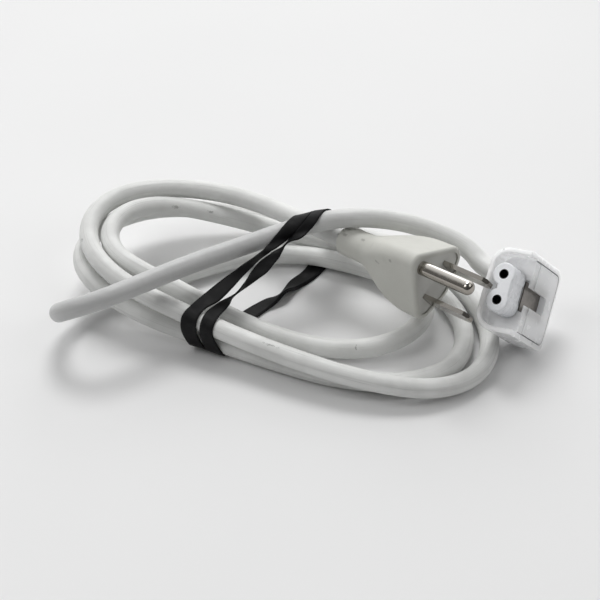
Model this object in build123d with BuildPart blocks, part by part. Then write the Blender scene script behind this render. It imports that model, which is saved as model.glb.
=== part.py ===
"""A loosely coiled mains extension cable.

A three-pin plug is on one end of a round cable and a slide-on appliance connector is on the
other.  The cable lies in three uneven turns, and its last stretch folds back over them.  A
rubber band holds the coil.  Millimetres, +Z up, origin on the floor under the coil's middle.
"""
import os
from math import acos, atan2, cos, degrees, radians, sin, tan

from build123d import *

# Cable
cable_diameter = 6.5
cable_fit = 0.1
cable_bend = 0.45

# Plug body: a neck round the cable that flares out to a rounded five-sided face
plug_length = 39.5
neck_diameter = 10.4
neck_length = 10.0
neck_round = 1.7
cable_seat = 8.0
face_width = 26.8
face_ground_side = 13.8
face_blade_side = 11.6
face_apex_round = 3.8
face_corner_round = 4.6
face_bow_round = 13.0
face_corner_rise = 4.3
face_land = 2.4
face_edge_round = 1.1
flare_places = (0.0, 0.13, 0.24, 0.39, 0.54, 0.70, 0.87, 1.0)
flare_shares = (0.01, 0.10, 0.30, 0.58, 0.80, 0.94, 0.99, 1.0)

# Pin carrier let into the plug's face
carrier_rim = 1.8
carrier_thickness = 3.2
carrier_recess = 0.5
moulded_fit = 0.05

# Pins, to the usual three-pin pattern
blade_spacing = 12.7
blade_width = 6.35
blade_thickness = 1.5
blade_reach = 17.5
blade_tip_corner = 1.6
blade_tip_chamfer = 0.4
blade_rise = 4.3
ground_to_blades = 11.9
ground_diameter = 4.75
ground_reach = 20.4
ground_tip_round = 1.9
ground_tail_diameter = 3.6
pin_tail = 7.0

# Connector shell: a block with a rimmed pocket on the end that slides on
connector_width = 28.0
connector_back = 7.5
connector_front = 6.4
connector_depth = 21.3
rim_height = 5.6
rim_wall = 1.8
rim_edge_round = 0.5
shell_corner_round = 6.3
pocket_corner_round = 4.5
shell_end_round = 3.5

# Front face of the connector: a low step by the pocket and a seam round the moulded lid
step_height = 3.4
step_depth = 0.4
seam_width = 0.35
seam_depth = 0.5
seam_end_wall = 1.0
seam_corner_round = 2.6

# Slot in the connector's front face for the earth stud
slot_width = 6.0
slot_depth = 14.4
slot_end_round = 1.2
slot_lip = 1.0
undercut_width = 10.6
undercut_depth = 1.6
clip_thickness = 0.4
clip_margin = 0.4

# Figure-eight socket and its two contacts
socket_height = 8.8
socket_lobe_diameter = 7.8
socket_waist = 1.3
socket_flat = 3.5
socket_edge_round = 0.6
hole_diameter = 3.0
hole_spacing = 8.6
hole_depth = 14.0
contact_wall = 0.25
contact_setback = 3.0

# Strain relief where the cable leaves the connector's back
boot_diameter = 8.8
boot_seat = 1.4
boot_length = 2.0
boot_round = 0.8
boot_across = -7.0
boot_along = -8.0
connector_seat = 4.0

# Rubber band, doubled round the coil
band_width = 5.0
band_thickness = 0.9
band_gap = 0.45

# Where the plug and the connector lie
plug_face = Plane(origin=(41.0, -17.28, 27.92), x_dir=(-0.51, -0.618, -0.599), z_dir=(0.712, -0.693, 0.109))
pocket_floor = Plane(origin=(66.0, -20.4, 24.0), x_dir=(-0.28, -0.68, -0.68), z_dir=(-0.473, -0.516, 0.714))

# The cable's route, hand-chosen points from the plug to the connector
plug_lead = 18.0
connector_lead = 5.0
first_turn = [
    (-22.7, 39.5, 21.0), (-44.7, 45.0, 21.2), (-64.2, 41.7, 21.5), (-74.7, 27.7, 21.5),
    (-74.2, 9.2, 21.0), (-62.7, -7.3, 19.2), (-42.7, -16.8, 14.2), (-21.7, -27.3, 10.8),
    (-1.2, -38.4, 10.0), (19.3, -45.8, 8.2), (40.3, -47.0, 5.2), (55.9, -38.0, 3.6),
    (61.9, -19.8, 3.25), (58.1, 0.7, 3.25), (48.3, 18.7, 3.25),
]
second_turn = [
    (31.3, 33.0, 4.6), (9.8, 41.2, 5.1), (-12.7, 45.2, 6.0), (-34.7, 47.2, 10.4),
    (-56.2, 42.7, 13.6), (-72.2, 30.2, 14.6), (-78.4, 12.7, 14.4), (-70.7, -3.6, 13.6),
    (-53.2, -12.3, 7.8), (-32.7, -19.8, 4.8), (-12.2, -29.3, 3.6), (8.8, -38.4, 3.25),
    (30.3, -41.7, 3.25), (47.9, -34.2, 3.25), (53.9, -16.3, 3.25), (48.9, 2.7, 3.25), (36.6, 18.2, 3.25),
]
third_turn = [
    (19.8, 29.4, 4.7), (-1.2, 33.5, 7.4), (-23.2, 37.0, 12.7), (-43.2, 37.8, 17.7),
    (-55.9, 35.6, 19.8), (-64.4, 29.0, 20.4), (-67.9, 19.0, 20.5), (-65.7, 8.6, 20.0),
    (-58.1, 1.2, 18.6), (-45.7, -4.8, 15.4), (-26.7, -12.8, 8.8), (-6.7, -20.3, 4.2),
    (10.3, -24.8, 3.8), (24.3, -24.6, 5.0), (34.9, -19.2, 6.8), (40.3, -9.4, 7.4),
    (39.3, 2.0, 7.2), (31.9, 11.2, 6.0),
]
floor_run = [
    (18.3, 20.4, 4.8), (-2.7, 28.5, 4.4), (-24.7, 25.7, 4.2), (-45.2, 14.7, 4.2), (-59.7, 6.6, 4.5),
    (-70.2, -0.6, 5.7),
]
fold = [
    (-77.8, -6.3, 7.3), (-81.2, -12.6, 10.4), (-81.5, -19.4, 15.1), (-78.7, -24.8, 20.2),
    (-72.1, -27.3, 24.3), (-64.4, -25.5, 26.2),
]
top_run = [
    (-53.2, -18.0, 26.4), (-38.7, -7.8, 26.4), (-21.7, 1.5, 26.8), (-4.7, 8.7, 29.0),
    (8.3, 9.3, 32.6), (20.8, 10.2, 32.6), (34.3, 11.3, 29.6), (45.8, 8.8, 26.4), (54.6, 4.4, 24.0),
]

# The band's two loops: a point on the front strands, a heading in degrees, and the strands that each
# loop is stretched round, as distance along the heading and height
band_loops = [
    ((-37.7, -17.8), 43.0, [(-1.6, 5.4), (81.6, 4.65), (45.2, 29.4), (20.0, 26.9), (-2.4, 14.2)]),
    ((-28.7, -22.3), 50.0, [(-0.4, 4.65), (78.2, 4.65), (45.0, 30.8), (34.0, 28.0), (-1.9, 12.5)]),
]


def face_outline(share, inset):
    """Draw a plug section: share 0 is the neck's circle, share 1 the whole face."""
    half_width = face_width / 2 - face_corner_round
    rounds = [
        (0.0, face_apex_round - face_ground_side, face_apex_round),
        (half_width, face_corner_rise, face_corner_round),
        (0.0, face_blade_side - face_bow_round, face_bow_round),
        (-half_width, face_corner_rise, face_corner_round),
    ]
    neck_radius = neck_diameter / 2
    circles = [
        (Vector(share * x, share * y), neck_radius + share * (r - neck_radius) - inset)
        for x, y, r in rounds
    ]
    hull_outline(circles)


def hull_outline(circles, mode=Mode.ADD):
    """Draw the tight outline round circles that are listed anticlockwise."""
    count = len(circles)
    normals = []
    for i in range(count):
        centre, radius = circles[i]
        next_centre, next_radius = circles[(i + 1) % count]
        across = next_centre - centre
        heading = atan2(across.Y, across.X)
        normals.append(heading - acos((radius - next_radius) / across.length))
    with BuildLine() as outline:
        for i in range(count):
            centre, radius = circles[i]
            next_centre, next_radius = circles[(i + 1) % count]
            turn = degrees(normals[i] - normals[i - 1]) % 360
            CenterArc(centre, radius, degrees(normals[i - 1]), turn)
            outward = Vector(cos(normals[i]), sin(normals[i]))
            Line(centre + outward * radius, next_centre + outward * next_radius)
    make_face(outline.edges(), mode=mode)


def write_node(builder, name):
    builder.part.label = name
    export_step(builder.part, f"parts/{name}.step")


os.makedirs("parts", exist_ok=True)

# Pins
ground_place = (0.0, blade_rise - ground_to_blades)
blade_places = {
    "line_blade": (blade_spacing / 2, blade_rise),
    "neutral_blade": (-blade_spacing / 2, blade_rise),
}
tail_plane = plug_face.offset(-pin_tail)
plug_axis = Axis(plug_face.origin, plug_face.z_dir)

for name, place in blade_places.items():
    with BuildPart() as blade:
        with BuildSketch(tail_plane):
            with Locations(place):
                Rectangle(blade_thickness, blade_width)
        extrude(amount=pin_tail + blade_reach)
        tip = blade.faces().sort_by(plug_axis)[-1]
        chamfer(tip.edges().filter_by(Axis(plug_face.origin, plug_face.x_dir)), blade_tip_corner)
        chamfer(blade.faces().sort_by(plug_axis)[-1].edges(), blade_tip_chamfer)
    write_node(blade, name)

with BuildPart() as ground_pin:
    with BuildSketch(plug_face.offset(-carrier_recess)):
        with Locations(ground_place):
            Circle(ground_diameter / 2)
    extrude(amount=carrier_recess + ground_reach)
    fillet(ground_pin.faces().sort_by(plug_axis)[-1].edges(), ground_tip_round)
    with BuildSketch(tail_plane):
        with Locations(ground_place):
            Circle(ground_tail_diameter / 2)
    extrude(amount=pin_tail - carrier_recess)
write_node(ground_pin, "ground_pin")

# Sockets for the pins' tails, cut from the plug's body and its pin carrier
with BuildPart() as pin_sockets:
    with BuildSketch(tail_plane):
        with Locations(*blade_places.values()):
            Rectangle(blade_thickness + 2 * moulded_fit, blade_width + 2 * moulded_fit)
        with Locations(ground_place):
            Circle(ground_tail_diameter / 2 + moulded_fit)
    extrude(amount=2 * pin_tail)

# Pin carrier
with BuildPart() as pin_carrier:
    with BuildSketch(plug_face.offset(-carrier_recess - carrier_thickness)):
        face_outline(1.0, carrier_rim + moulded_fit)
    extrude(amount=carrier_thickness)
    add(pin_sockets.part, mode=Mode.SUBTRACT)
write_node(pin_carrier, "plug_face_insert")

# Plug body
flare_length = plug_length - neck_length - face_land
with BuildPart() as plug_body:
    for place, share in zip(flare_places, flare_shares):
        with BuildSketch(plug_face.offset(-face_land - flare_length * (1 - place))):
            face_outline(share, 0.0)
    loft()
    with BuildSketch(plug_face.offset(-face_land)):
        face_outline(1.0, 0.0)
    extrude(amount=face_land)
    fillet(plug_body.faces().sort_by(plug_axis)[-1].edges(), face_edge_round)
    with BuildSketch(plug_face.offset(-plug_length)):
        Circle(neck_diameter / 2)
    extrude(amount=neck_length + cable_fit)
    fillet(plug_body.faces().sort_by(plug_axis)[0].edges(), neck_round)
    with BuildSketch(plug_face.offset(-plug_length)):
        Circle(cable_diameter / 2 + cable_fit)
    extrude(amount=cable_seat, mode=Mode.SUBTRACT)
    with BuildSketch(plug_face):
        face_outline(1.0, carrier_rim)
    extrude(amount=-carrier_recess - carrier_thickness, mode=Mode.SUBTRACT)
    add(pin_sockets.part, mode=Mode.SUBTRACT)
write_node(plug_body, "plug_body")

# Connector planes and axes
front_axis = Axis(pocket_floor.origin, pocket_floor.y_dir)
mating_axis = Axis(pocket_floor.origin, pocket_floor.z_dir)
front_face = Plane(
    origin=pocket_floor.from_local_coords((0, connector_front, 0)),
    x_dir=pocket_floor.x_dir,
    z_dir=pocket_floor.y_dir,
)
cable_exit = Plane(
    origin=pocket_floor.from_local_coords((boot_across, -connector_back, boot_along)),
    x_dir=pocket_floor.x_dir,
    z_dir=-pocket_floor.y_dir,
)

# Connector shell
pocket_width = connector_width - 2 * rim_wall
with BuildPart() as shell:
    with BuildSketch(pocket_floor.offset(-connector_depth)):
        with Locations((0, (connector_front - connector_back) / 2)):
            Rectangle(connector_width, connector_front + connector_back)
        fillet(vertices().group_by(Axis.Y)[0], shell_corner_round)
    extrude(amount=connector_depth + rim_height)
    fillet(shell.faces().sort_by(mating_axis)[0].edges().sort_by(front_axis)[:-1], shell_end_round)
    with BuildSketch(pocket_floor):
        with Locations((0, (connector_front - connector_back + rim_wall) / 2)):
            Rectangle(pocket_width, connector_front + connector_back - rim_wall)
        fillet(vertices().group_by(Axis.Y)[0], pocket_corner_round)
    extrude(amount=rim_height, mode=Mode.SUBTRACT)
    fillet(shell.faces().sort_by(mating_axis)[-1].edges(), rim_edge_round)
    with BuildSketch(front_face):
        with Locations((0, (connector_depth - seam_end_wall - seam_width) / 2)):
            Rectangle(pocket_width, connector_depth - seam_end_wall + seam_width)
        fillet(vertices().group_by(Axis.Y)[-1], seam_corner_round)
        offset(amount=-seam_width, mode=Mode.SUBTRACT)
    extrude(amount=-seam_depth, mode=Mode.SUBTRACT)
    with BuildSketch(front_face):
        with Locations((0, step_height / 2)):
            Rectangle(pocket_width, step_height)
    extrude(amount=-step_depth, mode=Mode.SUBTRACT)
    with BuildSketch(front_face):
        with Locations((0, slot_depth / 2)):
            Rectangle(slot_width, slot_depth)
        fillet(vertices().group_by(Axis.Y)[-1], slot_end_round)
    extrude(amount=-slot_lip, mode=Mode.SUBTRACT)
    with BuildSketch(front_face.offset(-slot_lip)):
        with Locations((0, slot_depth / 2)):
            Rectangle(undercut_width, slot_depth)
    extrude(amount=-undercut_depth, mode=Mode.SUBTRACT)
    with BuildSketch(pocket_floor):
        with GridLocations(hole_spacing, 0, 2, 1):
            Circle(hole_diameter / 2)
    extrude(amount=-(hole_depth - socket_height), mode=Mode.SUBTRACT)
    with BuildSketch(cable_exit):
        Circle(boot_diameter / 2 + moulded_fit)
    extrude(amount=-boot_seat, mode=Mode.SUBTRACT)
    with BuildSketch(cable_exit):
        Circle(cable_diameter / 2 + cable_fit)
    extrude(amount=-connector_seat, mode=Mode.SUBTRACT)
write_node(shell, "connector_shell")

# Figure-eight socket, its waist filled almost flush on the slot's side
with BuildPart() as socket:
    with BuildSketch(pocket_floor):
        with GridLocations(hole_spacing, 0, 2, 1):
            Circle(socket_lobe_diameter / 2)
        with Locations((0, (socket_flat - socket_waist) / 2)):
            Rectangle(hole_spacing, socket_flat + socket_waist)
        with GridLocations(hole_spacing, 0, 2, 1):
            Circle(hole_diameter / 2, mode=Mode.SUBTRACT)
    extrude(amount=socket_height)
    fillet(socket.faces().sort_by(mating_axis)[-1].outer_wire().edges(), socket_edge_round)
write_node(socket, "connector_socket")

# Spring contacts, sleeves seated in the bottoms of the holes
contact_length = hole_depth - contact_setback
for name, side in (("line_contact", 1), ("neutral_contact", -1)):
    with BuildPart() as contact:
        with BuildSketch(pocket_floor.offset(socket_height - hole_depth)):
            with Locations((side * hole_spacing / 2, 0)):
                Circle(hole_diameter / 2 - moulded_fit)
                Circle(hole_diameter / 2 - moulded_fit - contact_wall, mode=Mode.SUBTRACT)
        extrude(amount=contact_length)
    write_node(contact, name)

# Earth clip, a plate on the back wall of the slot's undercut
with BuildPart() as earth_clip:
    with BuildSketch(front_face.offset(-slot_lip - undercut_depth)):
        with Locations((0, slot_depth / 2)):
            Rectangle(undercut_width - 2 * clip_margin, slot_depth - 2 * clip_margin)
    extrude(amount=clip_thickness)
write_node(earth_clip, "earth_clip")

# Strain relief
with BuildPart() as boot:
    with BuildSketch(cable_exit.offset(-boot_seat)):
        Circle(boot_diameter / 2)
        Circle(cable_diameter / 2 + cable_fit, mode=Mode.SUBTRACT)
    extrude(amount=boot_seat + boot_length)
    outer_rim = boot.faces().sort_by(Axis(cable_exit.origin, cable_exit.z_dir))[-1].outer_wire()
    fillet(outer_rim.edges(), boot_round)
write_node(boot, "connector_boot")

# Cable, straight runs joined by tangent arcs, each as large as its two runs allow
route = [
    plug_face.from_local_coords((0, 0, cable_seat - plug_length)),
    plug_face.from_local_coords((0, 0, -plug_length - plug_lead)),
    *(Vector(*point) for point in first_turn + second_turn + third_turn + floor_run + fold + top_run),
    cable_exit.from_local_coords((0, 0, boot_length + connector_lead)),
    cable_exit.from_local_coords((0, 0, -connector_seat)),
]
bend_radii = []
for before, corner, after in zip(route, route[1:], route[2:]):
    shorter_run = min((corner - before).length, (after - corner).length)
    half_turn = radians((corner - before).get_angle(after - corner)) / 2
    bend_radii.append(cable_bend * shorter_run / tan(half_turn))

with BuildPart() as cable:
    with BuildLine() as cable_path:
        FilletPolyline(*route, radius=bend_radii)
    with BuildSketch(Plane(origin=route[0], z_dir=route[1] - route[0])):
        Circle(cable_diameter / 2)
    sweep()
write_node(cable, "cable")

cable_length = cable_path.wires()[0].length
print("bend radii", [round(radius, 1) for radius in bend_radii])
print("cable length", round(cable_length, 1))
section_area = Circle(cable_diameter / 2).area
print("cable volume", cable.part.volume, "section times length", section_area * cable_length)

# Rubber band, each loop drawn in an upright plane
with BuildPart() as rubber_band:
    for front, heading, strands in band_loops:
        along = Vector(1, 0).rotate(Axis.Z, heading)
        with BuildSketch(Plane(origin=front, x_dir=along, z_dir=along.cross(Vector(0, 0, 1)))):
            inner_round = cable_diameter / 2 + band_gap
            hull_outline([(Vector(*strand), inner_round + band_thickness) for strand in strands])
            hull_outline([(Vector(*strand), inner_round) for strand in strands], Mode.SUBTRACT)
        extrude(amount=band_width / 2, both=True)
write_node(rubber_band, "rubber_band")
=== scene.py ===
import math

import bmesh
import bpy
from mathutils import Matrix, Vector
from mathutils.kdtree import KDTree


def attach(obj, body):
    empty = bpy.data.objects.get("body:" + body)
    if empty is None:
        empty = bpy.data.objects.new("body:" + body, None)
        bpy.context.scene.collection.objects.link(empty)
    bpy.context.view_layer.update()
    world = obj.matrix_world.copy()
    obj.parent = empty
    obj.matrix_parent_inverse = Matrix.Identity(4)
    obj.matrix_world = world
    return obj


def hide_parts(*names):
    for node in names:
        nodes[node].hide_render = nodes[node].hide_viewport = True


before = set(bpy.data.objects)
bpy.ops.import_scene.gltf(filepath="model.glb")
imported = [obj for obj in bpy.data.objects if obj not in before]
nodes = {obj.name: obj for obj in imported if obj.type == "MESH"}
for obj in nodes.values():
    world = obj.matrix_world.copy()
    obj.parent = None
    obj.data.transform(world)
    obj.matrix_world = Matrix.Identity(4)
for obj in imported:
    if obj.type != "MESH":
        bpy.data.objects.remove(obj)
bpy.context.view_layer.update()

ROOT = "root"

# Camera, fitted to the photograph: it looks along +Y, down at the floor near the coil's middle
CAMERA_TARGET = Vector((-0.0022, 0.0069, 0.0))
CAMERA_DISTANCE = 0.600
CAMERA_ELEVATION = math.radians(38.0)
CAMERA_LENS = 104.4
CAMERA_SENSOR = 36.0
CAMERA_NEAR = 0.01

# Cable
CABLE_DIAMETER = 0.0065
CABLE_SIDES = 40
CABLE_STEPS = 10
PLUG_END = [(0.0186, 0.0046, 0.0245), (0.0000, 0.0226, 0.0216)]
FIRST_TURN = [
    (-0.0227, 0.0395, 0.0210), (-0.0447, 0.0450, 0.0212), (-0.0642, 0.0417, 0.0215),
    (-0.0747, 0.0277, 0.0215), (-0.0742, 0.0092, 0.0210), (-0.0627, -0.0073, 0.0192),
    (-0.0427, -0.0168, 0.0142), (-0.0217, -0.0273, 0.0108), (-0.0012, -0.0384, 0.0100),
    (0.0193, -0.0458, 0.0082), (0.0403, -0.0470, 0.0052), (0.0559, -0.0380, 0.0036),
    (0.0619, -0.0198, 0.00325), (0.0581, 0.0007, 0.00325), (0.0483, 0.0187, 0.00325),
]
SECOND_TURN = [
    (0.0313, 0.0330, 0.0046), (0.0098, 0.0412, 0.0051), (-0.0127, 0.0452, 0.0060),
    (-0.0347, 0.0472, 0.0104), (-0.0562, 0.0427, 0.0136), (-0.0722, 0.0302, 0.0146),
    (-0.0784, 0.0127, 0.0144), (-0.0707, -0.0036, 0.0136), (-0.0532, -0.0123, 0.0078),
    (-0.0327, -0.0198, 0.0048), (-0.0122, -0.0293, 0.0036), (0.0088, -0.0384, 0.00325),
    (0.0303, -0.0417, 0.00325), (0.0479, -0.0342, 0.00325), (0.0539, -0.0163, 0.00325),
    (0.0489, 0.0027, 0.00325), (0.0366, 0.0182, 0.00325),
]
THIRD_TURN = [
    (0.0198, 0.0294, 0.0047), (-0.0012, 0.0335, 0.0074), (-0.0232, 0.0370, 0.0127),
    (-0.0432, 0.0378, 0.0177), (-0.0559, 0.0356, 0.0198), (-0.0644, 0.0290, 0.0204),
    (-0.0679, 0.0190, 0.0205), (-0.0657, 0.0086, 0.0200), (-0.0581, 0.0012, 0.0186),
    (-0.0457, -0.0048, 0.0154), (-0.0267, -0.0128, 0.0088), (-0.0067, -0.0203, 0.0042),
    (0.0103, -0.0248, 0.0038), (0.0243, -0.0246, 0.0050), (0.0349, -0.0192, 0.0068),
    (0.0403, -0.0094, 0.0074), (0.0393, 0.0020, 0.0072), (0.0319, 0.0112, 0.0060),
]
FLOOR_RUN = [
    (0.0183, 0.0204, 0.0048), (-0.0027, 0.0285, 0.0044), (-0.0247, 0.0257, 0.0042),
    (-0.0452, 0.0147, 0.0042), (-0.0597, 0.0066, 0.0045), (-0.0702, -0.0006, 0.0057),
]
FOLD = [
    (-0.0778, -0.0063, 0.0073), (-0.0812, -0.0126, 0.0104), (-0.0815, -0.0194, 0.0151),
    (-0.0787, -0.0248, 0.0202), (-0.0721, -0.0273, 0.0243), (-0.0644, -0.0255, 0.0262),
]
TOP_RUN = [
    (-0.0532, -0.0180, 0.0264), (-0.0387, -0.0078, 0.0264), (-0.0217, 0.0015, 0.0268),
    (-0.0047, 0.0087, 0.0290), (0.0083, 0.0093, 0.0326), (0.0208, 0.0102, 0.0326),
    (0.0343, 0.0113, 0.0296), (0.0458, 0.0088, 0.0264), (0.0546, 0.0044, 0.0240),
]
CONNECTOR_END = [(0.0596, -0.0040, 0.0205), (0.0688, -0.0097, 0.0224)]

# Scuffs and specks: place, heading, length and width
CABLE_SCUFFS = [
    ((-0.0456, 0.0344, 0.0198), (0.96, 0.09, -0.26), 0.0016, 0.0007),
    ((-0.0335, 0.0349, 0.0174), (0.97, -0.06, -0.25), 0.0012, 0.0006),
    ((-0.0760, 0.0107, 0.0228), (0.20, -0.98, 0.0), 0.0010, 0.0005),
    ((0.0161, -0.0270, 0.0066), (0.20, 0.66, 0.72), 0.0014, 0.0003),
    ((-0.0118, -0.0338, 0.0135), (0.88, -0.47, 0.0), 0.0030, 0.0004),
    ((0.0074, -0.0397, 0.0121), (0.90, -0.43, 0.0), 0.0045, 0.0005),
]
PLUG_SCUFFS = [
    ((0.0187, 0.0014, 0.0296), (0.70, -0.70, 0.10), 0.0012, 0.0006),
    ((0.0229, -0.0114, 0.0300), (0.55, -0.83, 0.0), 0.0015, 0.0006),
    ((0.0268, -0.0168, 0.0345), (0.66, -0.75, 0.0), 0.0010, 0.0008),
    ((0.0129, 0.0061, 0.0283), (0.70, -0.70, 0.10), 0.0016, 0.0007),
]
CONNECTOR_SPECKS = [
    ((0.0637, -0.0126, 0.0360), (1.0, 0.0, 0.0), 0.0006, 0.0005),
    ((0.0737, -0.0258, 0.0077), (0.0, 0.6, 0.8), 0.0007, 0.0005),
]
MARK_GRAIN = 1400.0
MARK_RAGGED = 0.0016
MARK_CORE = 0.3

# The two sockets' axes, whose bores are painted near black as shade
SOCKET_BORES = [(0.064652, -0.023479, 0.021302), (0.067065, -0.017631, 0.027127)]
SOCKET_AXIS = (-0.473052, -0.516057, 0.714078)
BORE_RADIUS = 0.0016
BORE_EDGE = 0.00006

# The seam round the connector's front, painted dark as the shade in its groove: a rounded outline in
# the connector's own frame
CONNECTOR_ORIGIN = Vector((0.066, -0.0204, 0.024))
CONNECTOR_ACROSS = Vector((-0.28, -0.68, -0.68)).normalized()
CONNECTOR_UP = Vector((-0.473, -0.516, 0.714)).normalized()
CONNECTOR_OUT = CONNECTOR_UP.cross(CONNECTOR_ACROSS)
SEAM_HALF_ACROSS = 0.01203
SEAM_HALF_DOWN = 0.01156
SEAM_MIDDLE_DOWN = 0.00856
SEAM_ROUND = 0.0024
SEAM_HALF_WIDTH = 0.00024
SEAM_CORE = 0.6
SEAM_FRONT = 0.0058
SEAM_FADE = 0.0001

# Rubber band, wound twice round the coil: its two edges in millimetres at listed stations.
# Each winding goes up over the front strands, over the top strand, down behind it and back along
# the floor.
BAND_THICKNESS = 0.00055
BAND_CLEARANCE = 0.00008
BAND_LOWEST = BAND_THICKNESS * 0.55
BAND_ACROSS = 8
BAND_STEPS = 7
BAND_RIM_UV = 0.1
LEAST_SPACING = 1e-5
MM_PER_M = 1000
BAND_FIRST = [
    ((-37.6, -18.2, 1.0), (-32.4, -20.2, 0.8)), ((-39.0, -21.2, 3.9), (-33.6, -23.5, 3.8)),
    ((-40.5, -21.0, 6.9), (-35.2, -23.2, 6.6)), ((-41.2, -21.5, 10.2), (-36.0, -23.9, 10.2)),
    ((-41.2, -21.7, 13.0), (-36.1, -23.9, 13.6)), ((-40.6, -21.2, 15.6), (-34.8, -21.9, 16.4)),
    ((-38.2, -18.9, 17.5), (-32.8, -19.5, 17.3)), ((-33.4, -14.2, 19.2), (-28.8, -16.7, 18.0)),
    ((-27.9, -9.4, 21.2), (-24.4, -12.2, 20.1)), ((-22.1, -6.4, 24.3), (-19.8, -6.6, 22.2)),
    ((-16.7, -4.4, 27.2), (-15.4, -1.7, 24.2)), ((-12.9, 1.3, 27.7), (-10.5, -0.3, 27.2)),
    ((-10.5, 2.9, 30.1), (-6.2, 3.6, 28.2)), ((-8.3, 5.2, 31.8), (-3.5, 4.9, 30.7)),
    ((-6.4, 7.4, 32.8), (-1.5, 6.2, 32.7)), ((-4.4, 9.6, 33.2), (0.7, 8.6, 34.3)),
    ((-2.4, 12.6, 31.6), (2.0, 12.2, 33.4)), ((1.2, 20.5, 26.0), (5.6, 18.8, 27.0)),
    ((6.2, 31.5, 17.2), (10.8, 29.8, 17.6)), ((9.2, 41.6, 9.4), (13.8, 40.0, 9.4)),
    ((10.4, 44.6, 5.6), (15.0, 42.9, 5.6)), ((9.6, 43.4, 1.9), (14.2, 41.7, 1.9)),
    ((7.0, 38.8, 0.95), (11.8, 36.8, 0.95)), ((3.4, 31.4, 0.95), (8.8, 28.8, 0.95)),
    ((-1.4, 21.6, 0.95), (2.6, 18.5, 0.95)), ((-5.6, 16.2, 1.1), (-2.8, 12.6, 1.5)),
    ((-9.6, 8.4, 0.8), (-7.4, 6.3, 4.4)), ((-13.7, 6.2, 0.95), (-10.3, 3.2, 2.6)),
    ((-17.0, 3.6, 0.95), (-13.6, 0.4, 1.0)), ((-20.4, 0.4, 0.95), (-16.6, -3.0, 0.95)),
    ((-23.4, -3.0, 0.95), (-19.4, -6.4, 0.95)), ((-27.5, -9.5, 0.95), (-23.2, -12.4, 0.95)),
]
BAND_SECOND = [
    ((-32.0, -20.4, 0.95), (-26.6, -22.9, 0.8)), ((-33.4, -23.3, 3.6), (-27.9, -26.0, 3.6)),
    ((-34.3, -23.9, 7.2), (-29.4, -26.1, 7.0)), ((-34.9, -24.8, 11.4), (-30.6, -26.8, 11.2)),
    ((-34.6, -24.4, 14.6), (-30.3, -25.8, 14.6)), ((-32.6, -20.6, 16.7), (-28.5, -22.4, 16.2)),
    ((-29.1, -18.4, 18.4), (-25.6, -17.6, 16.6)), ((-23.1, -16.1, 20.7), (-24.3, -13.3, 17.1)),
    ((-18.4, -6.7, 22.3), (-13.5, -7.4, 22.3)), ((-16.1, -4.6, 24.5), (-10.8, -4.7, 24.2)),
    ((-12.2, -2.4, 26.6), (-8.9, -2.6, 25.6)), ((-7.4, 2.1, 26.7), (-6.6, -0.9, 30.1)),
    ((-5.2, 4.1, 28.8), (-2.2, 1.8, 30.0)), ((-3.2, 5.0, 31.0), (1.1, 4.9, 31.0)),
    ((-0.9, 6.9, 33.1), (3.2, 5.9, 33.4)), ((0.9, 8.6, 34.4), (4.6, 7.9, 35.0)),
    ((2.6, 12.0, 33.8), (6.7, 11.4, 34.9)), ((6.4, 18.6, 27.8), (10.8, 17.2, 28.8)),
    ((11.6, 30.0, 18.2), (16.2, 28.2, 18.6)), ((14.0, 40.0, 9.4), (18.6, 38.2, 9.4)),
    ((15.2, 42.9, 5.6), (19.8, 41.0, 5.6)), ((14.4, 41.7, 1.9), (19.0, 39.8, 1.9)),
    ((9.6, 36.0, 0.35), (14.6, 34.0, 0.35)), ((3.8, 30.6, 0.35), (9.0, 28.0, 0.35)),
    ((-1.2, 21.4, 0.35), (2.8, 18.3, 0.35)), ((-5.4, 16.0, 0.5), (-2.6, 12.4, 0.9)),
    ((-9.3, 8.1, 0.4), (-7.1, 6.0, 3.9)), ((-13.5, 6.0, 0.35), (-10.1, 3.0, 2.0)),
    ((-17.2, 3.5, 0.35), (-13.8, 0.3, 0.4)), ((-20.6, 0.3, 0.35), (-16.8, -3.1, 0.35)),
    ((-24.0, -3.4, 0.35), (-20.0, -6.6, 0.35)), ((-29.5, -9.6, 0.35), (-25.0, -12.4, 0.35)),
]

# Light: a high soft lamp, a low one behind, a fill at each side in front, and a sky that is
# brightest behind
KEY_PLACE = Vector((-0.05, 0.50, 0.96))
KEY_SIZE = 0.45
KEY_POWER = 4.5
BACK_PLACE = Vector((0.10, 0.98, 0.47))
BACK_SIZE = 0.55
BACK_POWER = 1.0
FILL_SIZE = 0.70
LEFT_PLACE = Vector((-0.72, -0.25, 0.88))
LEFT_POWER = 3.1
RIGHT_PLACE = Vector((0.72, -0.30, 0.70))
RIGHT_POWER = 1.6
SKY_LOBES = [
    ((0.0, 0.0, 1.0), 0.08), ((0.0, 1.0, 0.0), 1.30), ((0.0, -1.0, 0.0), 0.06),
    ((1.0, 0.0, 0.0), 0.08), ((-1.0, 0.0, 0.0), 0.20),
]
FLOOR_SIZE = 6.0
FLOOR_CELLS = 8

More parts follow.
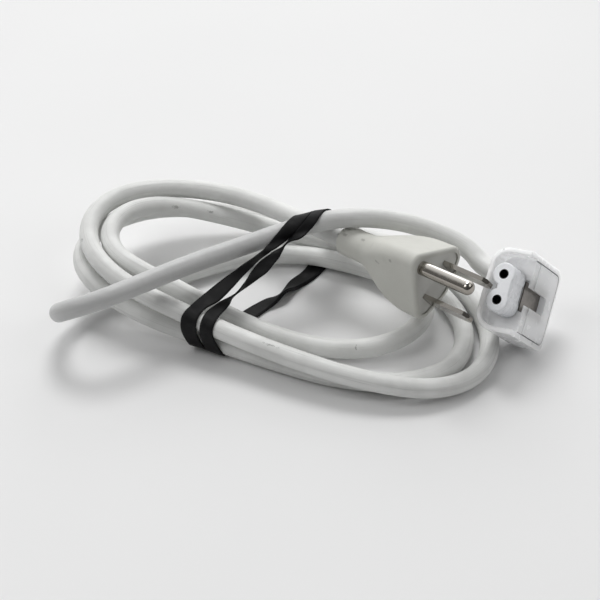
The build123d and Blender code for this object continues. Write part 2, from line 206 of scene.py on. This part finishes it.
# Sheath: pairs are a dark and a light colour, or where a mask starts and is full
SHEATH_COLOURS = ((0.655, 0.66, 0.645), (0.745, 0.75, 0.735))
SMEAR_COLOUR = (0.47, 0.47, 0.455)
SMEAR_SHARE = 0.50
SMEAR_SPAN = (0.50, 0.74)
SMEAR_STRETCH = (20.0, 11.0, 1.0)
SCRATCH_COLOUR = (0.36, 0.36, 0.35)
SCRATCH_SHARE = 0.45
SCRATCH_SPAN = (0.60, 0.72)
SCRATCH_STRETCH = (26.0, 52.0, 1.0)
# Painted shade: the stretch of cable by the fold is darkened towards grey
FOLD_SHADE_COLOUR = (0.40, 0.40, 0.405)
FOLD_SHADE_SHARE = 0.62
FOLD_SHADE_START = (1.04, 1.10)
FOLD_SHADE_END = (1.18, 1.24)
CABLE_SCUFF_COLOUR = (0.10, 0.098, 0.092)
CABLE_SCUFF_SHARE = 0.5
SHEATH_CLOUD_SPAN = (0.36, 0.64)
SHEATH_ROUGH = (0.40, 0.55)
SHEATH_LUMP = 0.00035
SHEATH_GRAIN = 0.00004

# Mouldings, metal, band and floor
NOISE_SPAN = (0.3, 0.7)
SMUDGE_SPAN = (0.56, 0.76)
SMUDGE_DARKNESS = 0.6
MOULDING_SCUFF_COLOUR = (0.16, 0.155, 0.14)
MOULDING_SCUFF_SHARE = 0.45
# Painted shade along the connector's seam groove
SEAM_SHADE_COLOUR = (0.20, 0.20, 0.205)
SEAM_SHADE_SHARE = 0.85
# Near-black painted shade inside the socket bores
BORE_SHADE_COLOUR = (0.006, 0.006, 0.006)
SMOOTHER = 0.05
ROUGHER = 0.06
DULL_SPAN = (0.42, 0.70)
# Where the painted highlight on metal's upward faces starts and is full
TOP_HIGHLIGHT_SPAN = (0.70, 0.86)
BLOOM_SPAN = (0.45, 0.75)
RUBBER_COLOURS = ((0.004, 0.004, 0.0045), (0.011, 0.011, 0.0115))
RUBBER_ROUGH = 0.6
RUBBER_GLOSS = 0.2
RUBBER_GRAIN = 0.00004
FLOOR_COLOURS = ((0.80, 0.80, 0.80), (0.815, 0.815, 0.815))
FLOOR_ROUGH = 0.8


class Shader:
    """A material's node tree, with short calls for the nodes used here."""

    def __init__(self, name):
        self.material = bpy.data.materials.new(name)
        self.material.use_nodes = True
        self.tree = self.material.node_tree
        self.surface = self.tree.nodes["Principled BSDF"]
        coordinates = self.add("ShaderNodeTexCoord")
        self.place = coordinates.outputs["Object"]
        self.uv = coordinates.outputs["UV"]

    def add(self, kind, **settings):
        made = self.tree.nodes.new(kind)
        for name, value in settings.items():
            setattr(made, name, value)
        return made

    def feed(self, socket, value):
        """Link a socket to another node's output, or give it a plain value."""
        if isinstance(value, bpy.types.NodeSocket):
            self.tree.links.new(value, socket)
        else:
            socket.default_value = value

    def set(self, name, value):
        self.feed(self.surface.inputs[name], value)

    def noise(self, scale, detail, roughness=0.5, at=None):
        made = self.add("ShaderNodeTexNoise")
        self.feed(made.inputs["Vector"], at or self.place)
        self.feed(made.inputs["Scale"], scale)
        self.feed(made.inputs["Detail"], detail)
        self.feed(made.inputs["Roughness"], roughness)
        return made.outputs["Fac"]

    def stretched(self, source, scale):
        made = self.add("ShaderNodeMapping")
        self.feed(made.inputs["Vector"], source)
        self.feed(made.inputs["Scale"], scale)
        return made.outputs["Vector"]

    def range(self, source, low, high, to_low=0.0, to_high=1.0):
        made = self.add("ShaderNodeMapRange", interpolation_type="SMOOTHSTEP")
        self.feed(made.inputs["Value"], source)
        self.feed(made.inputs["From Min"], low)
        self.feed(made.inputs["From Max"], high)
        self.feed(made.inputs["To Min"], to_low)
        self.feed(made.inputs["To Max"], to_high)
        return made.outputs["Result"]

    def math(self, operation, *values):
        made = self.add("ShaderNodeMath", operation=operation)
        for socket, value in zip(made.inputs, values):
            self.feed(socket, value)
        return made.outputs["Value"]

    def vector(self, operation, *values):
        made = self.add("ShaderNodeVectorMath", operation=operation)
        for socket, value in zip(made.inputs, values):
            self.feed(socket, value)
        return made.outputs["Value" if operation in ("DOT_PRODUCT", "LENGTH") else "Vector"]

    def mix(self, factor, first, second):
        made = self.add("ShaderNodeMix", data_type="RGBA")
        self.feed(made.inputs["Factor"], factor)
        for socket, colour in zip((made.inputs[6], made.inputs[7]), (first, second)):
            self.feed(socket, (*colour, 1.0) if isinstance(colour, tuple) else colour)
        return made.outputs[2]

    def tint(self, colour, mask, share, paint):
        """The colour with a share of the paint over it where the mask is."""
        return self.mix(self.math("MULTIPLY", mask, share), colour, paint)

    def bump(self, height, distance, after=None):
        made = self.add("ShaderNodeBump")
        self.feed(made.inputs["Strength"], 1.0)
        self.feed(made.inputs["Distance"], distance)
        self.feed(made.inputs["Height"], height)
        if after is not None:
            self.feed(made.inputs["Normal"], after)
        return made.outputs["Normal"]

    def off_axis(self, place, heading, keep):
        """Distance from a place, with only a share of the way along the heading kept."""
        offset = self.vector("SUBTRACT", self.place, place)
        along = self.math("MULTIPLY", self.vector("DOT_PRODUCT", offset, heading), 1.0 - keep)
        part = self.add("ShaderNodeVectorMath", operation="SCALE")
        self.feed(part.inputs[0], heading)
        self.feed(part.inputs["Scale"], along)
        return self.vector("LENGTH", self.vector("SUBTRACT", offset, part.outputs["Vector"]))

    def seam(self):
        """A mask of the seam line on the connector's front, where its groove's shade is painted."""
        offset = self.vector("SUBTRACT", self.place, CONNECTOR_ORIGIN)
        across = self.vector("DOT_PRODUCT", offset, CONNECTOR_ACROSS)
        down = self.vector("DOT_PRODUCT", offset, CONNECTOR_UP)
        down = self.math("ADD", down, SEAM_MIDDLE_DOWN)
        corner = self.add("ShaderNodeCombineXYZ")
        for name, way, half in (("X", across, SEAM_HALF_ACROSS), ("Y", down, SEAM_HALF_DOWN)):
            past = self.math("SUBTRACT", self.math("ABSOLUTE", way), half - SEAM_ROUND)
            self.feed(corner.inputs[name], self.math("MAXIMUM", past, 0.0))
        reach = self.vector("LENGTH", corner.outputs["Vector"])
        reach = self.math("ABSOLUTE", self.math("SUBTRACT", reach, SEAM_ROUND))
        line = self.range(reach, SEAM_HALF_WIDTH * SEAM_CORE, SEAM_HALF_WIDTH, 1.0, 0.0)
        out = self.vector("DOT_PRODUCT", offset, CONNECTOR_OUT)
        return self.math("MULTIPLY", line, self.range(out, SEAM_FRONT, SEAM_FRONT + SEAM_FADE))

    def marks(self, spots):
        """A mask of small scuffs with ragged edges."""
        ragged = self.math("SUBTRACT", self.noise(MARK_GRAIN, detail=3.0, roughness=0.65), 0.5)
        ragged = self.math("MULTIPLY", ragged, MARK_RAGGED)
        mask = None
        for place, heading, length, width in spots:
            reach = self.math("ADD", self.off_axis(place, heading, width / length), ragged)
            spot = self.range(reach, width * MARK_CORE, width, 1.0, 0.0)
            mask = spot if mask is None else self.math("MAXIMUM", mask, spot)
        return mask


def sheath_material():
    """Grey-white PVC: streaks, a stretch by the fold painted greyer as shade, scuffs, soft lumps and a
    satin grain.
    """
    shader = Shader("cable_sheath")
    smear = shader.noise(
        scale=1.0, detail=5.0, roughness=0.62, at=shader.stretched(shader.uv, SMEAR_STRETCH))
    smear = shader.range(smear, *SMEAR_SPAN)
    scratch = shader.noise(
        scale=1.0, detail=3.0, roughness=0.55, at=shader.stretched(shader.uv, SCRATCH_STRETCH))
    scratch = shader.range(scratch, *SCRATCH_SPAN)
    split = shader.add("ShaderNodeSeparateXYZ")
    shader.feed(split.inputs["Vector"], shader.uv)
    travel = split.outputs["X"]
    # Painted shade: the stretch by the fold is mixed towards grey.
    fold_shade = shader.math(
        "MULTIPLY", shader.range(travel, *FOLD_SHADE_START), shader.range(travel, *FOLD_SHADE_END, 1.0, 0.0))
    cloud = shader.noise(scale=55.0, detail=4.0, roughness=0.6)
    colour = shader.mix(shader.range(cloud, *SHEATH_CLOUD_SPAN), *SHEATH_COLOURS)
    colour = shader.tint(colour, smear, SMEAR_SHARE, SMEAR_COLOUR)
    colour = shader.tint(colour, scratch, SCRATCH_SHARE, SCRATCH_COLOUR)
    colour = shader.tint(colour, fold_shade, FOLD_SHADE_SHARE, FOLD_SHADE_COLOUR)
    colour = shader.tint(colour, shader.marks(CABLE_SCUFFS), CABLE_SCUFF_SHARE, CABLE_SCUFF_COLOUR)
    shader.set("Base Color", colour)
    uneven = shader.noise(scale=300.0, detail=2.0)
    shader.set("Roughness", shader.range(uneven, *NOISE_SPAN, *SHEATH_ROUGH))
    lumps = shader.bump(shader.noise(scale=150.0, detail=2.0), SHEATH_LUMP)
    grain = shader.noise(scale=1500.0, detail=2.0)
    shader.set("Normal", shader.bump(grain, SHEATH_GRAIN, after=lumps))
    return shader.material


def moulding_material(
        name, light, dark, rough, grain, soil=0.2, scuffs=(), bores=(), seam=False, depth=0.0):
    """Moulded plastic with soft smudges and a fine grain.

    Scuffs, painted shade in dark bores and along a seam line, and a depth to which light goes in are
    added where given.
    """
    shader = Shader(name)
    cloud = shader.noise(scale=60.0, detail=3.0)
    colour = shader.mix(shader.range(cloud, *NOISE_SPAN), light, dark)
    smudge = shader.noise(scale=170.0, detail=5.0, roughness=0.65)
    smudge = shader.range(smudge, *SMUDGE_SPAN)
    colour = shader.tint(colour, smudge, soil, tuple(SMUDGE_DARKNESS * part for part in dark))
    if scuffs:
        colour = shader.tint(
            colour, shader.marks(scuffs), MOULDING_SCUFF_SHARE, MOULDING_SCUFF_COLOUR)
    # Painted shade: a dark line along the seam groove.
    if seam:
        colour = shader.tint(colour, shader.seam(), SEAM_SHADE_SHARE, SEAM_SHADE_COLOUR)
    # Painted shade: the socket bores are painted near black.
    for place in bores:
        reach = shader.off_axis(place, SOCKET_AXIS, 0.0)
        bore_shade = shader.range(reach, BORE_RADIUS, BORE_RADIUS + BORE_EDGE, 1.0, 0.0)
        colour = shader.mix(bore_shade, colour, BORE_SHADE_COLOUR)
    shader.set("Base Color", colour)
    uneven = shader.noise(scale=400.0, detail=2.0)
    shader.set("Roughness", shader.range(uneven, *NOISE_SPAN, rough - SMOOTHER, rough + ROUGHER))
    shader.set("Normal", shader.bump(shader.noise(scale=2200.0, detail=2.0), grain))
    if depth:
        shader.set("Subsurface Weight", 1.0)
        shader.set("Subsurface Scale", depth)
        shader.set("Subsurface Radius", (1.0, 1.0, 1.0))
    return shader.material


def metal_material(name, colour, dull, rough, top_highlight=None):
    """Plated metal with duller patches; what faces up is painted brighter as a highlight where a
    colour is given.
    """
    shader = Shader(name)
    patches = shader.noise(scale=260.0, detail=4.0, roughness=0.6)
    tone = shader.mix(shader.range(patches, *DULL_SPAN), colour, dull)
    # Painted highlight: faces turned upward are mixed towards a brighter colour.
    if top_highlight:
        facing = shader.add("ShaderNodeNewGeometry").outputs["Normal"]
        upward = shader.vector("DOT_PRODUCT", facing, (0.0, 0.0, 1.0))
        tone = shader.mix(shader.range(upward, *TOP_HIGHLIGHT_SPAN), tone, top_highlight)
    shader.set("Metallic", 1.0)
    shader.set("Base Color", tone)
    uneven = shader.noise(scale=700.0, detail=3.0)
    shader.set("Roughness", shader.range(uneven, *NOISE_SPAN, rough, rough + ROUGHER))
    return shader.material


def rubber_material():
    """Matt black rubber with a dusty bloom."""
    shader = Shader("band_rubber")
    bloom = shader.range(shader.noise(scale=260.0, detail=4.0), *BLOOM_SPAN)
    shader.set("Base Color", shader.mix(bloom, *RUBBER_COLOURS))
    shader.set("Roughness", RUBBER_ROUGH)
    shader.set("Specular IOR Level", RUBBER_GLOSS)
    shader.set("Normal", shader.bump(shader.noise(scale=1200.0, detail=2.0), RUBBER_GRAIN))
    return shader.material


def floor_material():
    """Plain white paper-like sheet."""
    shader = Shader("floor_sheet")
    cloud = shader.range(shader.noise(scale=6.0, detail=2.0), *NOISE_SPAN)
    shader.set("Base Color", shader.mix(cloud, *FLOOR_COLOURS))
    shader.set("Roughness", FLOOR_ROUGH)
    return shader.material


def new_mesh_object(name, mesh, material):
    made = bpy.data.objects.new(name, mesh)
    bpy.context.scene.collection.objects.link(made)
    mesh.materials.append(material)
    return made


def spline_points(route):
    """The smooth line of the route: a NURBS spline with the route's points as control points."""
    curve = bpy.data.curves.new("cable_line", "CURVE")
    curve.dimensions = "3D"
    curve.resolution_u = CABLE_STEPS
    spline = curve.splines.new("NURBS")
    spline.points.add(len(route) - 1)
    for point, place in zip(spline.points, route):
        point.co = (*place, 1.0)
    spline.order_u = 3
    spline.use_endpoint_u = True
    line = bpy.data.objects.new("cable_line", curve)
    bpy.context.scene.collection.objects.link(line)
    mesh = bpy.data.meshes.new_from_object(line)
    points = [vertex.co.copy() for vertex in mesh.vertices]
    bpy.data.objects.remove(line)
    bpy.data.meshes.remove(mesh)
    return points


def tube_mesh(name, points, radius, sides):
    """A round tube along the points, with UVs of metres along it and turns round it."""
    bm = bmesh.new()
    uv_layer = bm.loops.layers.uv.new("UVMap")
    heading = (points[1] - points[0]).normalized()
    side = heading.orthogonal().normalized()
    rings = []
    travel = [0.0]
    for i, point in enumerate(points):
        before = points[max(i - 1, 0)]
        after = points[min(i + 1, len(points) - 1)]
        turned = (after - before).normalized()
        side = (heading.rotation_difference(turned) @ side).normalized()
        side = (side - turned * side.dot(turned)).normalized()
        heading = turned
        up = heading.cross(side)
        if i:
            travel.append(travel[-1] + (point - before).length)
        ring = []
        for k in range(sides):
            angle = 2 * math.pi * k / sides
            out = math.cos(angle) * side + math.sin(angle) * up
            ring.append(bm.verts.new(point + radius * out))
        rings.append(ring)
    for i in range(len(rings) - 1):
        ring, ahead = rings[i], rings[i + 1]
        for k in range(sides):
            following = (k + 1) % sides
            face = bm.faces.new((ring[k], ring[following], ahead[following], ahead[k]))
            face.smooth = True
            corners = ((i, k), (i, k + 1), (i + 1, k + 1), (i + 1, k))
            for loop, (step, turn) in zip(face.loops, corners):
                loop[uv_layer].uv = (travel[step], turn / sides)
    bm.faces.new(reversed(rings[0]))
    bm.faces.new(rings[-1])
    mesh = bpy.data.meshes.new(name)
    bm.to_mesh(mesh)
    bm.free()
    return mesh


def build_cable(material):
    """The cable as a tube along its route; gives back the points of its middle line."""
    coil = FIRST_TURN + SECOND_TURN + THIRD_TURN
    route = PLUG_END + coil + FLOOR_RUN + FOLD + TOP_RUN + CONNECTOR_END
    points = spline_points(route)
    mesh = tube_mesh("cable_sheath", points, CABLE_DIAMETER / 2, CABLE_SIDES)
    cable = new_mesh_object("cable_sheath", mesh, material)
    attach(cable, ROOT)
    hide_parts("cable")
    return points


def blend(first, second, t, low, high):
    return first.lerp(second, (t - low) / (high - low))


def smooth_loop(places, steps):
    """Points of a smooth closed line through the places: a Catmull-Rom line, paced by spacing."""
    count = len(places)
    line = []
    for i in range(count):
        four = [places[(i + k) % count] for k in (-1, 0, 1, 2)]
        knots = [0.0]
        for first, second in zip(four, four[1:]):
            knots.append(knots[-1] + max((second - first).length, LEAST_SPACING) ** 0.5)
        for k in range(steps):
            t = knots[1] + (knots[2] - knots[1]) * k / steps
            runs = [blend(four[j], four[j + 1], t, knots[j], knots[j + 1]) for j in range(3)]
            arcs = [blend(runs[j], runs[j + 1], t, knots[j], knots[j + 2]) for j in range(2)]
            line.append(blend(arcs[0], arcs[1], t, knots[1], knots[2]))
    return line


def band_rows(cable_points):
    """Rows of points across the band, pushed off the strands and kept above the floor."""
    tree = KDTree(len(cable_points))
    for i, point in enumerate(cable_points):
        tree.insert(point, i)
    tree.balance()
    room = CABLE_DIAMETER / 2 + BAND_THICKNESS / 2 + BAND_CLEARANCE

    def laid(place):
        index = tree.find(place)[1]
        before = cable_points[max(index - 1, 0)]
        after = cable_points[min(index + 1, len(cable_points) - 1)]
        run = (after - before).normalized()
        foot = before + run * (place - before).dot(run)
        out = place - foot
        if out.length < room:
            place = foot + out.normalized() * room
        return Vector((place.x, place.y, max(place.z, BAND_LOWEST)))

    stations = BAND_FIRST + BAND_SECOND
    left = smooth_loop([Vector(pair[0]) / MM_PER_M for pair in stations], BAND_STEPS)
    right = smooth_loop([Vector(pair[1]) / MM_PER_M for pair in stations], BAND_STEPS)
    shares = [k / BAND_ACROSS for k in range(BAND_ACROSS + 1)]
    return [[laid(a.lerp(b, share)) for share in shares] for a, b in zip(left, right)]


def build_band(cable_points, material):
    """A flat rubber band: a closed sheet laid on the strands and given its thickness."""
    rows = band_rows(cable_points)
    count = len(rows)
    bm = bmesh.new()
    uv_layer = bm.loops.layers.uv.new("UVMap")
    top, under = [], []
    travel = [0.0]
    for i, row in enumerate(rows):
        ahead, behind = rows[(i + 1) % count], rows[i - 1]
        travel.append(travel[-1] + (ahead[0] - row[0]).length)
        top.append([])
        under.append([])
        for k, place in enumerate(row):
            along = ahead[k] - behind[k]
            across = row[min(k + 1, BAND_ACROSS)] - row[max(k - 1, 0)]
            half = along.cross(across).normalized() * (0.5 * BAND_THICKNESS)
            top[-1].append(bm.verts.new(place + half))
            under[-1].append(bm.verts.new(place - half))

    def quad(corners, marks, smooth):
        face = bm.faces.new(corners)
        face.smooth = smooth
        for loop, mark in zip(face.loops, marks):
            loop[uv_layer].uv = mark

    def uv_box(i, low, high):
        near, far = travel[i], travel[i + 1]
        return [(near, low), (near, high), (far, high), (far, low)]

    for i in range(count):
        j = (i + 1) % count
        for k in range(BAND_ACROSS):
            marks = uv_box(i, k / BAND_ACROSS, (k + 1) / BAND_ACROSS)
            quad((top[i][k], top[i][k + 1], top[j][k + 1], top[j][k]), marks, True)
            quad((under[j][k], under[j][k + 1], under[i][k + 1], under[i][k]), marks[::-1], True)
        for k in (0, BAND_ACROSS):
            marks = uv_box(i, 0.0, BAND_RIM_UV)
            quad((top[i][k], under[i][k], under[j][k], top[j][k]), marks, False)
    bmesh.ops.recalc_face_normals(bm, faces=bm.faces)
    mesh = bpy.data.meshes.new("rubber_band_ribbon")
    bm.to_mesh(mesh)
    bm.free()
    band = new_mesh_object("rubber_band_ribbon", mesh, material)
    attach(band, ROOT)
    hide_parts("rubber_band")


def paint(material, *names):
    for name in names:
        slots = nodes[name].data.materials
        slots.clear()
        slots.append(material)


def area_lamp(name, place, size, power):
    """A round lamp that faces the middle of the part."""
    data = bpy.data.lights.new(name, "AREA")
    data.shape = "DISK"
    data.size = size
    data.energy = power
    lamp = bpy.data.objects.new(name, data)
    lamp.location = place
    lamp.rotation_euler = (-place).to_track_quat("-Z", "Y").to_euler()
    bpy.context.scene.collection.objects.link(lamp)


def build_sky():
    """A plain sky whose strength is the sum of lobes, each brightest in its own direction."""
    world = bpy.data.worlds.new("sky")
    world.use_nodes = True
    tree = world.node_tree
    background = tree.nodes["Background"]
    background.inputs["Color"].default_value = (1.0, 1.0, 1.0, 1.0)
    direction = tree.nodes.new("ShaderNodeTexCoord")
    total = None
    for towards, level in SKY_LOBES:
        facing = tree.nodes.new("ShaderNodeVectorMath")
        facing.operation = "DOT_PRODUCT"
        facing.inputs[1].default_value = [level * part for part in towards]
        tree.links.new(direction.outputs["Generated"], facing.inputs[0])
        lobe = tree.nodes.new("ShaderNodeMath")
        lobe.operation = "MAXIMUM"
        lobe.inputs[1].default_value = 0.0
        tree.links.new(facing.outputs["Value"], lobe.inputs[0])
        if total is None:
            total = lobe
        else:
            added = tree.nodes.new("ShaderNodeMath")
            added.operation = "ADD"
            tree.links.new(total.outputs["Value"], added.inputs[0])
            tree.links.new(lobe.outputs["Value"], added.inputs[1])
            total = added
    tree.links.new(total.outputs["Value"], background.inputs["Strength"])
    bpy.context.scene.world = world


def build_stage():
    """Floor, camera and light."""
    bpy.ops.mesh.primitive_grid_add(
        x_subdivisions=FLOOR_CELLS, y_subdivisions=FLOOR_CELLS, size=FLOOR_SIZE)
    floor = bpy.context.object
    floor.name = "floor"
    floor.data.materials.append(floor_material())

    camera_data = bpy.data.cameras.new("camera")
    camera_data.lens = CAMERA_LENS
    camera_data.sensor_width = CAMERA_SENSOR
    camera_data.clip_start = CAMERA_NEAR
    camera = bpy.data.objects.new("camera", camera_data)
    away = Vector((0.0, -math.cos(CAMERA_ELEVATION), math.sin(CAMERA_ELEVATION)))
    camera.location = CAMERA_TARGET + CAMERA_DISTANCE * away
    camera.rotation_euler = (-away).to_track_quat("-Z", "Y").to_euler()
    bpy.context.scene.collection.objects.link(camera)
    bpy.context.scene.camera = camera

    area_lamp("key", KEY_PLACE, KEY_SIZE, KEY_POWER)
    area_lamp("back", BACK_PLACE, BACK_SIZE, BACK_POWER)
    area_lamp("left", LEFT_PLACE, FILL_SIZE, LEFT_POWER)
    area_lamp("right", RIGHT_PLACE, FILL_SIZE, RIGHT_POWER)
    build_sky()
    bpy.context.scene.view_settings.view_transform = "Standard"


plug_white = moulding_material(
    "plug_moulding", light=(0.58, 0.58, 0.54), dark=(0.545, 0.545, 0.505), rough=0.6,
    grain=0.00004, scuffs=PLUG_SCUFFS)
carrier_white = moulding_material(
    "pin_carrier", light=(0.60, 0.60, 0.57), dark=(0.56, 0.555, 0.53), rough=0.5, grain=0.00003)
connector_white = moulding_material(
    "connector_moulding", light=(0.88, 0.885, 0.895), dark=(0.86, 0.865, 0.875), rough=0.22,
    grain=0.00001, soil=0.03, scuffs=CONNECTOR_SPECKS, seam=True, depth=0.007)
socket_white = moulding_material(
    "socket_moulding", light=(0.86, 0.875, 0.90), dark=(0.84, 0.855, 0.88), rough=0.28,
    grain=0.00001, soil=0.04, bores=SOCKET_BORES)
boot_white = moulding_material(
    "boot_moulding", light=(0.66, 0.66, 0.65), dark=(0.62, 0.62, 0.61), rough=0.5, grain=0.00003)
# The blades and ground pin get a painted highlight on their upward faces.
plated = metal_material(
    "plated_metal", colour=(0.38, 0.355, 0.32), dull=(0.31, 0.285, 0.25), rough=0.05,
    top_highlight=(0.60, 0.575, 0.535))
# The contacts are painted near black: painted shade deep in the socket bores.
contact = metal_material(
    "contact_metal", colour=(0.05, 0.047, 0.043), dull=(0.03, 0.028, 0.026), rough=0.4)
clip = metal_material(
    "earth_metal", colour=(0.22, 0.205, 0.19), dull=(0.15, 0.14, 0.13), rough=0.34)

cable_points = build_cable(sheath_material())
build_band(cable_points, rubber_material())
paint(plug_white, "plug_body")
paint(carrier_white, "plug_face_insert")
paint(plated, "line_blade", "neutral_blade", "ground_pin")
paint(connector_white, "connector_shell")
paint(socket_white, "connector_socket")
paint(contact, "line_contact", "neutral_contact")
paint(clip, "earth_clip")
paint(boot_white, "connector_boot")
build_stage()
